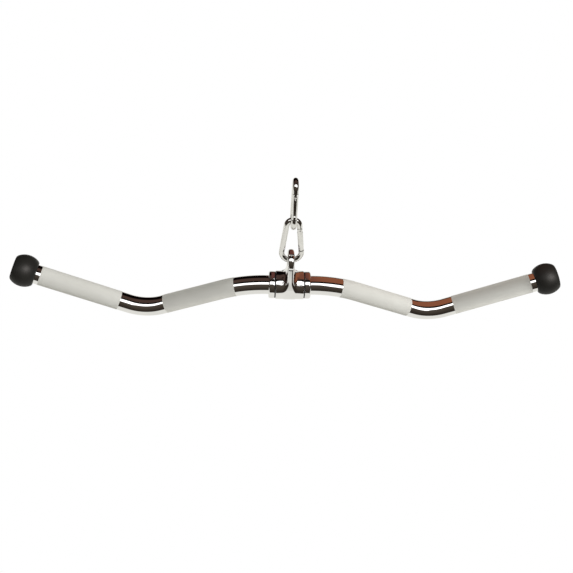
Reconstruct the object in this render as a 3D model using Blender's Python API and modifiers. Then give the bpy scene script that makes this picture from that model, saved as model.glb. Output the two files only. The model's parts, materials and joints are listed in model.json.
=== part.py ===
"""Lat pulldown bar: a cambered tube that turns in a swivel hanger, hung on two snap hooks.

Metres, +Z up, +X along the bar. The origin is where the upper snap hook bears on what holds it,
and everything hangs straight down from there.
"""

from math import acos, asin, atan2, cos, hypot, pi, radians, sin, sqrt

import bmesh
import bpy
from mathutils import Matrix, Vector

# Bent tube
TUBE_DIAMETER = 0.028
TUBE_WALL = 0.002
CENTRE_STRAIGHT_HALF = 0.0357
SHOULDER_RADIUS = 0.187
SHOULDER_SLOPE = radians(19.9)
INNER_RUN = 0.096
VALLEY_RADIUS = 0.0675
OUTER_RISE = radians(23.7)
OUTER_RUN = 0.1665
BEND_STEP = radians(3.4)

# Swivel hanger
BARREL_DIAMETER = 0.042
BARREL_LENGTH = 0.041
LUG_THICKNESS = 0.0094
LUG_RADIUS = 0.0179
LUG_EDGE = 0.0034
LUG_STANDS_PROUD = 0.0006
BARREL_EDGE = 0.0006
EYE_DIAMETER = 0.0148
EYE_HEIGHT = 0.045
EYE_EDGE = 0.004

# The lug's fillet is tighter in front of and behind the barrel than on top of it
FRONT_FILLET = 0.0085
TOP_FILLET = 0.013
FRONT_FILLET_UP_TO = radians(62)
TOP_FILLET_FROM = radians(90)
FILLET_SINK = 0.03

# What keeps the hanger in the middle of the tube
BUSHING_WALL = 0.002
BUSHING_LENGTH = 0.018
WASHER_THICKNESS = 0.0013
WASHER_DIAMETER = 0.039
COLLAR_DIAMETER = 0.040
COLLAR_LENGTH = 0.0086
COLLAR_EDGE = 0.0028
SET_SCREW_DIAMETER = 0.004
SET_SCREW_FROM_FACE = 0.0036
SET_SCREW_SINK = 0.0006
SET_SCREW_KEY = 0.002

# Rubber end balls
BALL_DIAMETER = 0.0465
BALL_OUTER_FLAT = 0.0325
BALL_INNER_FLAT = 0.0343
BALL_GRIP_DEPTH = 0.0285
BALL_FLAT_EDGE = 0.0028

# Snap hooks, each a pear of bent wire that hangs with its narrow bow up
WIRE_DIAMETER = 0.008
UPPER_HOOK_LENGTH = 0.0785
LOWER_HOOK_LENGTH = 0.0785
HOOK_WIDTH = 0.0358
NARROW_BOW_WIDTH = 0.0256
HINGE_FROM_BOW = 0.0085
LATCH_FROM_BOW = 0.0075
TANG_THICKNESS = 0.003
NOSE_THICKNESS = 0.0026
FLAT_END_INSET = 0.0003
FLAT_END_ROOT = 0.0022
NOSE_TIP = 0.002
NOSE_LEAD = 0.0008
NOTCH_GAP = 0.0004
FORK_DEPTH = 0.0044
GATE_TIP_BACK = 0.0007
GATE_TIP_EDGE = 0.0008
KNUCKLE_INSET = 0.0001
RIVET_DIAMETER = 0.0026
RIVET_STANDS_PROUD = 0.0003
RIVET_EDGE = 0.0004
LATCH_PIN_DIAMETER = 0.002
LATCH_PIN_SINK = 0.0001
GATE_BORE = 0.0046
SPRING_WIRE = 0.0006
SPRING_TURNS = 6
SPRING_LENGTH = 0.0082
PLUNGER_DIAMETER = 0.0042
PLUNGER_LENGTH = 0.0045
PLUNGER_EDGE = 0.0006
PLUNGER_SEAT = 0.0024

# Clearances
SEAT_GAP = 0.0003
RUN_GAP = 0.0002
BORE_GAP = 0.00015
PIN_GAP = 0.00012

WIRE_RADIUS = WIRE_DIAMETER / 2
TUBE_RADIUS = TUBE_DIAMETER / 2
BARREL_RADIUS = BARREL_DIAMETER / 2
HOOK_SEAT = WIRE_DIAMETER + SEAT_GAP

# Heights, from the point that holds the upper hook down to the bar
UPPER_CROWN_Z = WIRE_RADIUS
UPPER_BOTTOM_Z = UPPER_CROWN_Z - (UPPER_HOOK_LENGTH - WIRE_DIAMETER)
LOWER_TOP_Z = UPPER_BOTTOM_Z + HOOK_SEAT
LOWER_BOTTOM_Z = LOWER_TOP_Z - (LOWER_HOOK_LENGTH - WIRE_DIAMETER)
EYE_Z = LOWER_BOTTOM_Z + WIRE_RADIUS + SEAT_GAP - EYE_DIAMETER / 2
BAR_Z = EYE_Z - EYE_HEIGHT

MATERIALS = {
    "chrome": ((0.80, 0.80, 0.81), 0.08, 1.0),
    "bright_steel": ((0.78, 0.78, 0.78), 0.18, 1.0),
    "bronze": ((0.62, 0.42, 0.20), 0.35, 1.0),
    "black_nylon": ((0.02, 0.02, 0.02), 0.55, 0.0),
    "black_rubber": ((0.018, 0.018, 0.018), 0.62, 0.0),
    "spring_steel": ((0.55, 0.55, 0.56), 0.30, 1.0),
    "dark_steel": ((0.10, 0.10, 0.11), 0.40, 1.0),
}


def clear_scene():
    for obj in list(bpy.data.objects):
        bpy.data.objects.remove(obj, do_unlink=True)


def make_collection(name, hidden=False):
    collection = bpy.data.collections.new(name)
    collection.hide_render = hidden
    bpy.context.scene.collection.children.link(collection)
    return collection


def make_material(name, finish):
    """Each piece has a material of its own, named for the piece."""
    colour, roughness, metallic = MATERIALS[finish]
    material = bpy.data.materials.new(name)
    material.use_nodes = True
    shader = material.node_tree.nodes["Principled BSDF"]
    shader.inputs["Base Color"].default_value = (*colour, 1)
    shader.inputs["Roughness"].default_value = roughness
    shader.inputs["Metallic"].default_value = metallic
    return material


def add_piece(name, mesh, finish, parent=None, at=(0, 0, 0), turn=(0, 0, 0), sharp=35):
    """One named piece, shaded smooth except over real edges."""
    piece = bpy.data.objects.new(name, mesh)
    parts.objects.link(piece)
    piece.parent = parent
    piece.location = at
    piece.rotation_euler = turn
    mesh.materials.clear()
    mesh.materials.append(make_material(name, finish))
    mesh.shade_smooth()
    mesh.set_sharp_from_angle(angle=radians(sharp))
    return piece


def add_empty(name, at, turn=(0, 0, 0), parent=None):
    empty = bpy.data.objects.new(name, None)
    empty.empty_display_size = 0.02
    empty.location = at
    empty.rotation_euler = turn
    empty.parent = parent
    parts.objects.link(empty)
    return empty


def baked(obj):
    """The evaluated mesh of a helper object, with its place in the mesh, and the helper removed."""
    bpy.context.view_layer.update()
    graph = bpy.context.evaluated_depsgraph_get()
    mesh = bpy.data.meshes.new_from_object(obj.evaluated_get(graph))
    mesh.transform(obj.matrix_world)
    bm = bmesh.new()
    bm.from_mesh(mesh)
    bmesh.ops.remove_doubles(bm, verts=bm.verts, dist=1e-6)
    bmesh.ops.recalc_face_normals(bm, faces=bm.faces)
    bm.to_mesh(mesh)
    bm.free()
    bpy.data.objects.remove(obj, do_unlink=True)
    return mesh


def helper(data, name="helper"):
    obj = bpy.data.objects.new(name, data)
    cutters.objects.link(obj)
    obj.hide_render = True
    obj.display_type = "WIRE"
    return obj


def combine(mesh, *steps):
    """Join meshes to a mesh or cut them from it, in order: steps are ("UNION", mesh) and the like."""
    body = helper(mesh, "body")
    others = []
    for operation, other_mesh in steps:
        other = helper(other_mesh, "other")
        others.append(other)
        modifier = body.modifiers.new(operation.title(), "BOOLEAN")
        modifier.operation = operation
        modifier.object = other
        modifier.solver = "EXACT"
    result = baked(body)
    for other in others:
        bpy.data.objects.remove(other, do_unlink=True)
    return result


def sweep(points, radius, resolution):
    """A round bar along the points, closed at its ends. It has 4 + 2 * resolution sides."""
    curve = bpy.data.curves.new("sweep", "CURVE")
    curve.dimensions = "3D"
    curve.twist_mode = "MINIMUM"
    curve.bevel_depth = radius
    curve.bevel_resolution = resolution
    curve.use_fill_caps = True
    spline = curve.splines.new("POLY")
    spline.points.add(len(points) - 1)
    for point, place in zip(spline.points, points):
        point.co = (*place, 1)
    return baked(helper(curve))


def turned(profile, sides=40):
    """A solid of revolution about X: the profile is (x, radius) points in order, along the outside from
    the far end back to the near end, and for a ring back again along the bore."""
    bm = bmesh.new()
    verts = [bm.verts.new((radius, 0, x)) for x, radius in profile]
    for first, second in zip(verts, verts[1:]):
        bm.edges.new((first, second))
    if min(radius for _, radius in profile) > 0:
        bm.edges.new((verts[-1], verts[0]))
    mesh = bpy.data.meshes.new("profile")
    bm.to_mesh(mesh)
    bm.free()
    obj = helper(mesh)
    screw = obj.modifiers.new("Turn", "SCREW")
    screw.steps = sides
    screw.render_steps = sides
    screw.use_merge_vertices = True
    screw.merge_threshold = 1e-6
    solid = baked(obj)
    solid.transform(Matrix.Rotation(pi / 2, 4, "Y"))
    return solid


def rounded(centre_x, centre_r, radius, start, end, steps=4):
    """Profile points of a rounded edge, as angles from +X towards larger radius."""
    angles = [start + (end - start) * i / steps for i in range(steps + 1)]
    return [(centre_x + radius * cos(a), centre_r + radius * sin(a)) for a in angles]


def ring(low, high, outer, bore):
    return [(high, outer), (low, outer), (low, bore), (high, bore)]


def rod(axis_start, axis_end, radius, sides=24):
    """A plain round rod between two points, for pins and for the cutters of their holes."""
    start, end = Vector(axis_start), Vector(axis_end)
    bm = bmesh.new()
    bmesh.ops.create_cone(
        bm, cap_ends=True, segments=sides, radius1=radius, radius2=radius, depth=(end - start).length
    )
    turn = (end - start).to_track_quat("Z", "Y").to_matrix().to_4x4()
    bmesh.ops.transform(bm, matrix=Matrix.Translation((start + end) / 2) @ turn, verts=bm.verts)
    mesh = bpy.data.meshes.new("rod")
    bm.to_mesh(mesh)
    bm.free()
    return mesh


def block(low, high):
    size = Vector(high) - Vector(low)
    bm = bmesh.new()
    bmesh.ops.create_cube(bm, size=1)
    bmesh.ops.scale(bm, vec=size, verts=bm.verts)
    bmesh.ops.translate(bm, vec=(Vector(high) + Vector(low)) / 2, verts=bm.verts)
    mesh = bpy.data.meshes.new("block")
    bm.to_mesh(mesh)
    bm.free()
    return mesh


def plate(outline, thickness):
    """A flat plate in the XZ plane from its outline, as thick in Y as given."""
    curve = bpy.data.curves.new("plate", "CURVE")
    curve.dimensions = "2D"
    curve.fill_mode = "BOTH"
    curve.extrude = thickness / 2
    spline = curve.splines.new("POLY")
    spline.use_cyclic_u = True
    spline.points.add(len(outline) - 1)
    for point, (x, z) in zip(spline.points, outline):
        point.co = (x, z, 0, 1)
    obj = helper(curve)
    obj.rotation_euler = (pi / 2, 0, 0)
    return baked(obj)


def arc(centre, radius, start, end, step=radians(10)):
    """Points in the XZ plane round a centre, the angles from +X towards +Z."""
    count = max(2, round(abs(end - start) / step))
    angles = [start + (end - start) * i / count for i in range(count + 1)]
    return [(centre[0] + radius * cos(a), centre[1] + radius * sin(a)) for a in angles]


def bar_route(length_to_end):
    """The right half of the tube's centre line from the middle out, as (x, z), and its end heading."""
    x, z, heading = 0.0, 0.0, 0.0
    route = [(x, z)]

    def run(length):
        nonlocal x, z
        x += length * cos(heading)
        z += length * sin(heading)
        route.append((x, z))

    def bend(radius, turn):
        nonlocal x, z, heading
        count = max(2, round(abs(turn) / BEND_STEP))
        side = 1 if turn > 0 else -1
        for _ in range(count):
            middle = heading + turn / count / 2
            chord = 2 * radius * sin(abs(turn) / count / 2)
            x += chord * cos(middle)
            z += chord * sin(middle)
            heading += side * abs(turn) / count
            route.append((x, z))

    run(CENTRE_STRAIGHT_HALF)
    bend(SHOULDER_RADIUS, -SHOULDER_SLOPE)
    run(INNER_RUN)
    bend(VALLEY_RADIUS, SHOULDER_SLOPE + OUTER_RISE)
    run(length_to_end)
    return route, heading


def both_sides(route):
    """The whole centre line in 3-D, from the left end to the right one."""
    right = [Vector((x, 0, z)) for x, z in route]
    left = [Vector((-p.x, 0, p.z)) for p in reversed(right[1:])]
    return left + right


def make_bar():
    route, _ = bar_route(OUTER_RUN)
    outer = sweep(both_sides(route), TUBE_RADIUS, 12)
    past_the_end, _ = bar_route(OUTER_RUN + TUBE_WALL)
    bore = sweep(both_sides(past_the_end), TUBE_RADIUS - TUBE_WALL, 6)
    add_piece("cambered_bar", combine(outer, ("DIFFERENCE", bore)), "chrome", bar_axis)


def lug_mesh():
    """The eye lug: the hull of the eye and of the barrel, thin at the eye and flared where it meets the
    barrel, built as rings from the eye's throat out to the rim."""
    around = 52
    eye = EYE_DIAMETER / 2
    base_radius = BARREL_RADIUS + LUG_STANDS_PROUD
    flank = asin((base_radius - LUG_RADIUS) / EYE_HEIGHT)

    def rim_distance(direction):
        """How far the rim is from the eye's centre, along a direction in the YZ plane."""
        down = -direction[1]
        if down <= sin(flank):
            return LUG_RADIUS
        normal = cos(flank) * abs(direction[0]) - sin(flank) * down
        to_flank = LUG_RADIUS / normal if normal > 0 else 1.0
        on_flank = sqrt(max(0, to_flank ** 2 - LUG_RADIUS ** 2))
        if on_flank <= EYE_HEIGHT * cos(flank):
            return to_flank
        return EYE_HEIGHT * down + sqrt(base_radius ** 2 - (EYE_HEIGHT * direction[0]) ** 2)

    def half_thickness(place):
        rise = atan2(place[1], abs(place[0]))
        share = (rise - FRONT_FILLET_UP_TO) / (TOP_FILLET_FROM - FRONT_FILLET_UP_TO)
        share = min(1, max(0, share))
        fillet = FRONT_FILLET + (TOP_FILLET - FRONT_FILLET) * share ** 2 * (3 - 2 * share)
        out = hypot(*place) - BARREL_RADIUS + FILLET_SINK * fillet
        if out <= 0:
            return LUG_THICKNESS / 2 + fillet
        if out >= fillet:
            return LUG_THICKNESS / 2
        return LUG_THICKNESS / 2 + fillet - sqrt(fillet ** 2 - (fillet - out) ** 2)

    edge_angles = [radians(a) for a in (0, 30, 60, 90)]
    bands = 7
    rings = []
    for i in range(around):
        angle = 2 * pi * i / around
        direction = (sin(angle), cos(angle))
        rim = rim_distance(direction)
        stations = [(eye + EYE_EDGE * (1 - cos(a)), EYE_EDGE * (1 - sin(a))) for a in edge_angles]
        first, last = eye + EYE_EDGE, rim - LUG_EDGE
        stations += [(first + (last - first) * k / bands, 0) for k in range(1, bands)]
        for a in reversed(edge_angles):
            stations.append((rim - LUG_EDGE * (1 - cos(a)), LUG_EDGE * (1 - sin(a))))
        spoke = []
        for distance, drop in stations:
            place = (direction[0] * distance, EYE_HEIGHT + direction[1] * distance)
            spoke.append((half_thickness(place) - drop, *place))
        rings.append(spoke)

    bm = bmesh.new()
    front = [[bm.verts.new(p) for p in spoke] for spoke in rings]
    back = [[bm.verts.new((-p[0], p[1], p[2])) for p in spoke] for spoke in rings]
    for i in range(around):
        j = (i + 1) % around
        for side in (front, back):
            for k in range(len(side[i]) - 1):
                bm.faces.new((side[i][k], side[i][k + 1], side[j][k + 1], side[j][k]))
        for k in (0, -1):
            bm.faces.new((front[i][k], front[j][k], back[j][k], back[i][k]))
    bmesh.ops.recalc_face_normals(bm, faces=bm.faces)
    mesh = bpy.data.meshes.new("lug")
    bm.to_mesh(mesh)
    bm.free()
    return mesh


def make_hanger():
    half = BARREL_LENGTH / 2
    side = BARREL_RADIUS - BARREL_EDGE
    bore = TUBE_RADIUS + BORE_GAP + BUSHING_WALL + PIN_GAP
    barrel = turned(
        rounded(half - BARREL_EDGE, side, BARREL_EDGE, 0, pi / 2, 2)
        + rounded(BARREL_EDGE - half, side, BARREL_EDGE, pi / 2, pi, 2)
        + [(-half, bore * 0.5), (half, bore * 0.5)],
        56,
    )
    core = rod((-half * 1.3, 0, 0), (half * 1.3, 0, 0), bore, 48)
    mesh = combine(barrel, ("UNION", lug_mesh()), ("DIFFERENCE", core))
    mesh.transform(Matrix.Translation((0, 0, BAR_Z - LOWER_BOTTOM_Z)))
    add_piece("swivel_hanger", mesh, "chrome", hanger_pivot)


def make_bushings_and_collars():
    half = BARREL_LENGTH / 2
    bore = TUBE_RADIUS + BORE_GAP
    washer_start = half + RUN_GAP
    collar_start = washer_start + WASHER_THICKNESS + RUN_GAP
    collar_end = collar_start + COLLAR_LENGTH
    collar_radius = COLLAR_DIAMETER / 2
    screw_x = collar_start + SET_SCREW_FROM_FACE
    screw_radius = SET_SCREW_DIAMETER / 2
    screws = []
    for side, sign in (("left", -1), ("right", 1)):
        mirror = Matrix.Scale(sign, 4, (1, 0, 0))

        def placed(mesh):
            mesh.transform(mirror)
            if sign < 0:
                mesh.flip_normals()
            return mesh

        bushing = ring(half - RUN_GAP - BUSHING_LENGTH, half - RUN_GAP, bore + BUSHING_WALL, bore)
        add_piece("bushing_" + side, placed(turned(bushing)), "bronze", bar_axis)
        washer = ring(washer_start, washer_start + WASHER_THICKNESS, WASHER_DIAMETER / 2, bore)
        add_piece("thrust_washer_" + side, placed(turned(washer)), "black_nylon", bar_axis)
        collar = turned(
            rounded(collar_end - COLLAR_EDGE, collar_radius - COLLAR_EDGE, COLLAR_EDGE, 0, pi / 2, 5)
            + [(collar_start, collar_radius), (collar_start, bore), (collar_end, bore)],
            48,
        )
        hole = rod((screw_x, 0, 0), (screw_x, collar_radius * 1.2, 0), screw_radius + PIN_GAP, 16)
        collar = combine(collar, ("DIFFERENCE", hole))
        add_piece("collar_" + side, placed(collar), "chrome", bar_axis)
        outer_end = collar_radius - SET_SCREW_SINK
        screw = rod((screw_x, bore + RUN_GAP, 0), (screw_x, outer_end, 0), screw_radius, 16)
        key_end = outer_end - SET_SCREW_KEY
        key = rod((screw_x, key_end, 0), (screw_x, outer_end * 1.1, 0), screw_radius / 2, 6)
        screws.append(placed(combine(screw, ("DIFFERENCE", key))))
    return screws


def make_set_screws(screws):
    for side, mesh in zip(("left", "right"), screws):
        add_piece("set_screw_" + side, mesh, "dark_steel", bar_axis)


def softened(first, corner, last, steps=3):
    """Points between two ends of a profile that round the corner between them."""
    points = []
    for i in range(1, steps):
        t = i / steps
        points.append(tuple(
            (1 - t) ** 2 * a + 2 * t * (1 - t) * b + t ** 2 * c for a, b, c in zip(first, corner, last)
        ))
    return points


def make_balls():
    """A ball with two flats: the tube's end stands in a blind pocket behind the inner flat."""
    radius = BALL_DIAMETER / 2
    outer, inner = BALL_OUTER_FLAT / 2, BALL_INNER_FLAT / 2
    outer_x = sqrt(radius ** 2 - outer ** 2)
    inner_x = -sqrt(radius ** 2 - inner ** 2)
    pocket = TUBE_RADIUS + SEAT_GAP
    pocket_end = inner_x + BALL_GRIP_DEPTH + SEAT_GAP
    cut = BALL_FLAT_EDGE / radius
    start, end = atan2(outer, outer_x) + cut, atan2(inner, inner_x) - cut
    angles = [start + (end - start) * i / 10 for i in range(11)]
    side = [(radius * cos(a), radius * sin(a)) for a in angles]
    outer_flat = (outer_x, outer - BALL_FLAT_EDGE)
    inner_flat = (inner_x, inner - BALL_FLAT_EDGE / 2)
    profile = [(outer_x, 0), outer_flat]
    profile += softened(outer_flat, (outer_x, outer), side[0])
    profile += side
    profile += softened(side[-1], (inner_x, inner), inner_flat)
    profile += [inner_flat, (inner_x, pocket), (pocket_end, pocket), (pocket_end, 0)]
    route, heading = bar_route(OUTER_RUN)
    end_x, end_z = route[-1]
    back = BALL_GRIP_DEPTH + inner_x
    centre = Vector((end_x - back * cos(heading), 0, end_z - back * sin(heading)))
    for name, sign in (("end_ball_left", -1), ("end_ball_right", 1)):
        mesh = turned(profile, 36)
        mesh.transform(Matrix.Translation(centre) @ Matrix.Rotation(-heading, 4, "Y"))
        if sign < 0:
            mesh.transform(Matrix.Scale(-1, 4, (1, 0, 0)))
            mesh.flip_normals()
        add_piece(name, mesh, "black_rubber", bar_axis)


class Hook:
    """A snap hook in its own frame: x across the hook, y through it, z towards the narrow bow. What it
    hangs on passes through the origin, and the gate is the leg at +x."""

    def __init__(self, name, length):
        self.name = name
        self.narrow = (NARROW_BOW_WIDTH - WIRE_DIAMETER) / 2
        self.wide = (HOOK_WIDTH - WIRE_DIAMETER) / 2
        self.narrow_z = HOOK_SEAT - self.narrow
        self.wide_z = HOOK_SEAT - (length - WIRE_DIAMETER) + self.wide
        self.taper = asin((self.wide - self.narrow) / (self.narrow_z - self.wide_z))
        leg_top = Vector((self.narrow * cos(self.taper), 0, self.narrow_z + self.narrow * sin(self.taper)))
        leg_end = Vector((self.wide * cos(self.taper), 0, self.wide_z + self.wide * sin(self.taper)))
        self.down = (leg_end - leg_top).normalized()
        self.hinge = leg_top + self.down * HINGE_FROM_BOW
        self.latch = leg_end - self.down * LATCH_FROM_BOW
        self.span = (self.latch - self.hinge).length
        self.notch = LATCH_PIN_DIAMETER / 2 + NOTCH_GAP
        self.bore_end = FORK_DEPTH + PLUNGER_LENGTH + SPRING_LENGTH

    def along(self, distance, inward=0.0):
        """A point at a distance from the hinge down the gate's leg, as (x, z)."""
        across = Vector((self.down.z, 0, -self.down.x))
        place = self.hinge + self.down * distance + across * inward
        return place.x, place.z

    def outline_on_leg(self, points):
        """Points given as (distance down the leg, distance towards the inside), as an XZ outline."""
        return [self.along(s, u) for s, u in points]

    def wire(self):
        """The bent wire, from the hinge shoulder over the narrow bow and round to the nose shoulder."""
        hinge_shoulder = self.along(-FORK_DEPTH)
        nose_shoulder = self.along(self.span + FORK_DEPTH)
        narrow = arc((0, self.narrow_z), self.narrow, self.taper, pi - self.taper)
        wide = arc((0, self.wide_z), self.wide, pi - self.taper, 2 * pi + self.taper)
        flat = [hinge_shoulder, *narrow, *wide, nose_shoulder]
        return sweep([Vector((x, 0, z)) for x, z in flat], WIRE_RADIUS, 4)

    def tang(self):
        """The flattened end that the gate's fork straddles, with a flat for the plunger."""
        reach = WIRE_RADIUS - FLAT_END_INSET
        root = -FORK_DEPTH - FLAT_END_ROOT
        corner = acos(PLUNGER_SEAT / reach)
        angles = [corner + (pi / 2 - corner) * i / 4 for i in range(5)]
        tip = [(reach * cos(a), reach * sin(a)) for a in angles]
        points = tip + [(root, reach), (root, -reach)]
        points += [(s, -u) for s, u in reversed(tip)]
        hole = rod(self.world(0, -1), self.world(0, 1), RIVET_DIAMETER / 2 + PIN_GAP, 16)
        return plate(self.outline_on_leg(points), TANG_THICKNESS), hole

    def world(self, distance, y):
        x, z = self.along(distance)
        return Vector((x, y * WIRE_DIAMETER, z))

    def nose(self):
        """The flattened end that enters the gate's free fork: a notch open to the inside holds the pin."""
        reach = WIRE_RADIUS - FLAT_END_INSET
        notch = self.notch
        near = self.span - notch - NOSE_TIP
        far = self.span + FORK_DEPTH + FLAT_END_ROOT
        angles = [pi - pi * i / 6 for i in range(7)]
        points = [(near, reach - NOSE_LEAD), (near + NOSE_LEAD, reach), (self.span - notch, reach)]
        points += [(self.span + notch * cos(a), -notch * sin(a)) for a in angles]
        points += [(self.span + notch, reach), (far, reach), (far, -reach)]
        points += [(near + 2 * NOSE_LEAD, -reach), (near, -reach + 2 * NOSE_LEAD)]
        return plate(self.outline_on_leg(points), NOSE_THICKNESS)

    def make_body(self):
        tang, rivet_hole = self.tang()
        mesh = combine(self.wire(), ("UNION", tang), ("UNION", self.nose()), ("DIFFERENCE", rivet_hole))
        return add_piece(self.name + "_hook_body", mesh, "bright_steel", self.frame, sharp=30)

    def gate_place(self, mesh, name, finish):
        """Pieces of the gate are made along -Z from the hinge, then turned onto the leg."""
        return add_piece(name, mesh, finish, self.frame, at=self.hinge, turn=self.gate_turn(), sharp=30)

    def gate_turn(self):
        return (0, -atan2(self.down.x, -self.down.z), 0)

    def make_gate(self):
        """The gate: a rod with a round fork at the hinge and at the latch, and a bore for the spring."""
        end = self.span + WIRE_RADIUS - GATE_TIP_BACK
        side = WIRE_RADIUS * 1.5
        wide = WIRE_DIAMETER
        profile = [(end, 0)]
        profile += rounded(end - GATE_TIP_EDGE, WIRE_RADIUS - GATE_TIP_EDGE, GATE_TIP_EDGE, 0, pi / 2, 3)
        profile += [(-WIRE_RADIUS, WIRE_RADIUS), (-WIRE_RADIUS, 0)]
        gate = turned(profile, 24)
        gate.transform(Matrix.Rotation(pi / 2, 4, "Y"))
        knuckle = rod((0, -side, 0), (0, side, 0), WIRE_RADIUS - KNUCKLE_INSET, 28)
        shank = block((-side, -side, -end * 1.2), (side, side, 0))
        keep = combine(knuckle, ("UNION", shank))
        hinge_slot = TANG_THICKNESS / 2 + SEAT_GAP
        nose_slot = NOSE_THICKNESS / 2 + SEAT_GAP
        nose_floor = self.span - self.notch - NOSE_TIP - NOSE_LEAD
        rivet_hole = RIVET_DIAMETER / 2 + PIN_GAP
        pin_hole = LATCH_PIN_DIAMETER / 2 + PIN_GAP
        mesh = combine(
            gate,
            ("INTERSECT", keep),
            ("DIFFERENCE", block((-wide, -hinge_slot, -FORK_DEPTH), (wide, hinge_slot, wide))),
            ("DIFFERENCE", block((-wide, -nose_slot, -end * 1.2), (wide, nose_slot, -nose_floor))),
            ("DIFFERENCE", rod((0, 0, -FORK_DEPTH / 2), (0, 0, -self.bore_end), GATE_BORE / 2, 18)),
            ("DIFFERENCE", rod((0, -wide, 0), (0, wide, 0), rivet_hole, 16)),
            ("DIFFERENCE", rod((0, -wide, -self.span), (0, wide, -self.span), pin_hole, 12)),
        )
        self.gate_place(mesh, self.name + "_gate", "bright_steel")

    def make_pins(self):
        """The hinge rivet with its two low heads, and the pin that the nose catches."""
        stands = WIRE_RADIUS + RIVET_STANDS_PROUD
        shank = RIVET_DIAMETER / 2
        face = shank - RIVET_EDGE
        rivet = turned(
            [(stands, 0), (stands, face), (stands - RIVET_EDGE, shank)]
            + [(RIVET_EDGE - stands, shank), (-stands, face), (-stands, 0)],
            16,
        )
        rivet.transform(Matrix.Rotation(pi / 2, 4, "Z"))
        self.gate_place(rivet, self.name + "_gate_rivet", "bright_steel")
        pin_end = WIRE_RADIUS - LATCH_PIN_SINK
        pin = rod((0, -pin_end, -self.span), (0, pin_end, -self.span), LATCH_PIN_DIAMETER / 2, 12)
        self.gate_place(pin, self.name + "_latch_pin", "bright_steel")

    def make_plunger(self):
        start = PLUNGER_SEAT + SEAT_GAP
        end = start + PLUNGER_LENGTH
        radius = PLUNGER_DIAMETER / 2
        profile = [(end, 0), (end, radius), (start + PLUNGER_EDGE, radius)]
        profile += [(start, radius - PLUNGER_EDGE), (start, 0)]
        plunger = turned(profile, 16)
        plunger.transform(Matrix.Rotation(pi / 2, 4, "Y"))
        self.gate_place(plunger, self.name + "_gate_plunger", "bright_steel")
        self.spring_start = end + SEAT_GAP

    def make_spring(self):
        """A coil of one unbroken wire between the plunger and the floor of the gate's bore."""
        mean = GATE_BORE / 2 - SPRING_WIRE / 2 - SEAT_GAP
        start = self.spring_start + SPRING_WIRE / 2
        length = self.bore_end - SEAT_GAP - SPRING_WIRE / 2 - start
        per_turn = 9
        count = SPRING_TURNS * per_turn
        points = []
        for i in range(count + 1):
            turn = 2 * pi * i / per_turn
            points.append(Vector((mean * cos(turn), mean * sin(turn), -start - length * i / count)))
        gap = length / SPRING_TURNS - SPRING_WIRE
        print(self.name, "gate spring: least gap between turns", round(gap * 1000, 2), "mm")
        self.gate_place(sweep(points, SPRING_WIRE / 2, 1), self.name + "_gate_spring", "spring_steel")

    def make(self, frame):
        self.frame = frame
        self.make_body()
        self.make_gate()
        self.make_pins()
        self.make_plunger()
        self.make_spring()


clear_scene()
parts = make_collection("Lat pulldown bar")
cutters = make_collection("Cutters", hidden=True)
bar_axis = add_empty("bar_axis", (0, 0, BAR_Z))
hanger_pivot = add_empty("hanger_pivot", (0, 0, LOWER_BOTTOM_Z))
lower_hook_frame = add_empty("lower_hook_frame", (0, 0, UPPER_BOTTOM_Z))
upper_hook_frame = add_empty("upper_hook_frame", (0, 0, UPPER_CROWN_Z - HOOK_SEAT), (0, 0, -pi / 2))
make_bar()
make_hanger()
make_set_screws(make_bushings_and_collars())
make_balls()
Hook("lower", LOWER_HOOK_LENGTH).make(lower_hook_frame)
Hook("upper", UPPER_HOOK_LENGTH).make(upper_hook_frame)
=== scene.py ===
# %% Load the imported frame
import json
from math import acos, asin, atan2, cos, degrees, hypot, pi, radians, sin, sqrt

import bmesh
import bpy
from mathutils import Matrix, Vector


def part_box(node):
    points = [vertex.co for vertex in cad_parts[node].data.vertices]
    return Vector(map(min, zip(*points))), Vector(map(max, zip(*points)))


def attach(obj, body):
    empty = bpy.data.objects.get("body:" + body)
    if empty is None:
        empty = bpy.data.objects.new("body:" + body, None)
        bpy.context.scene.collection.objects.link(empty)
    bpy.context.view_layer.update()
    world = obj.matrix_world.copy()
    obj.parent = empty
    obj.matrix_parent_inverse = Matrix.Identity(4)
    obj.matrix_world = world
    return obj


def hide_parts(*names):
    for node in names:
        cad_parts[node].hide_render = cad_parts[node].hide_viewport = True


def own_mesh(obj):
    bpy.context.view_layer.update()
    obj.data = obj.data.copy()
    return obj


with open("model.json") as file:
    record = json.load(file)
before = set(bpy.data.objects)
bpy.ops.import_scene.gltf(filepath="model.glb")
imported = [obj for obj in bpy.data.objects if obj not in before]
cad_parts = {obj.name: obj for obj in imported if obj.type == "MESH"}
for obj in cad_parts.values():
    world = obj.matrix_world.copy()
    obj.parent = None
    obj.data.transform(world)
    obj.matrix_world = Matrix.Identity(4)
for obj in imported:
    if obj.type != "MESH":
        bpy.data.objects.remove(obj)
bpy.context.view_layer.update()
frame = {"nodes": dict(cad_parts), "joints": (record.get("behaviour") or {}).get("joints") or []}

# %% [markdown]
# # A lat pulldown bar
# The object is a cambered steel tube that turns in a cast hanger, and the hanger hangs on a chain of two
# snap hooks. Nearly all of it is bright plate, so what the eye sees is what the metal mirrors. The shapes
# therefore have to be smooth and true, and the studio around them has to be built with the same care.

joints = {joint["name"]: joint for joint in frame["joints"]}
BAR_Z = joints["bar_spin"]["pos_m"][2]
HOOK_PIVOT_Z = joints["lower_hook_swing"]["pos_m"][2]
print("bar axis at", BAR_Z, "hook pivot at", HOOK_PIVOT_Z)

# %% [markdown]
# ## Camera
# The photograph looks down on the bar by 42 degrees, from a little to the left, and the frame is turned a
# few degrees, so that straight-down lines lean. The camera was fitted to the bends of the tube. Here it is
# written as a real camera would be set: where it looks, from how far, at which angles, with which lens.

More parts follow.
